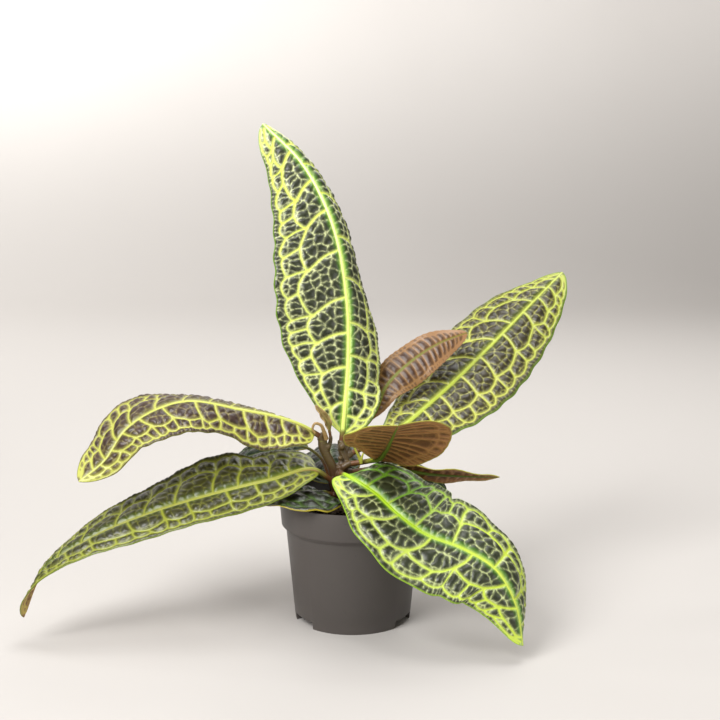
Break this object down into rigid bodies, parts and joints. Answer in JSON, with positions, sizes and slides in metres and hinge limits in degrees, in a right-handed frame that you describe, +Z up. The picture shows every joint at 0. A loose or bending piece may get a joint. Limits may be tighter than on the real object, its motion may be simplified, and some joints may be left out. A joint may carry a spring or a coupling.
{
  "type": "potted labisia",
  "caption": "Small potted foliage plant with long netted and blistered leaves on a short stem, in a round tapered nursery pot.",
  "frame": {"origin": "middle of the foot of the pot, on the surface that it stands on", "axes": "+Z up along the pot's axis; -Y is the side that the plant shows best, with the tallest leaf up, two leaves to the left and the large drooping leaf to the front right"},
  "size_m": [0.4489, 0.2421, 0.4021],
  "materials": {
    "pot": "satin dark grey plastic",
    "soil": "rough dark peat with fibres",
    "crown": "fleshy green stem, reddish brown lower down",
    "leaf": "waxy near-black green blisters between bright yellow-green veins",
    "leaf_purple": "purple-brown blisters between yellow-green veins",
    "leaf_young": "coppery brown young leaf with a green midrib",
    "shoot": "thin tan and yellow-green shoots"
  },
  "bodies": {
    "root": {"pot": "pot", "soil": "soil", "crown": "crown", "leaf_upright": "leaf", "leaf_left_upper": "leaf_purple", "leaf_left_lower": "leaf", "leaf_front": "leaf", "leaf_right_back": "leaf", "leaf_young_upper": "leaf_young", "leaf_young_front": "leaf_young", "leaf_young_right": "leaf_young", "leaf_back_right": "leaf", "leaf_back_left": "leaf", "leaf_under_left": "leaf", "leaf_back": "leaf", "bud_leaf": "leaf_young", "curled_shoot": "shoot", "thin_shoot": "shoot"}
  },
  "joints": []
}
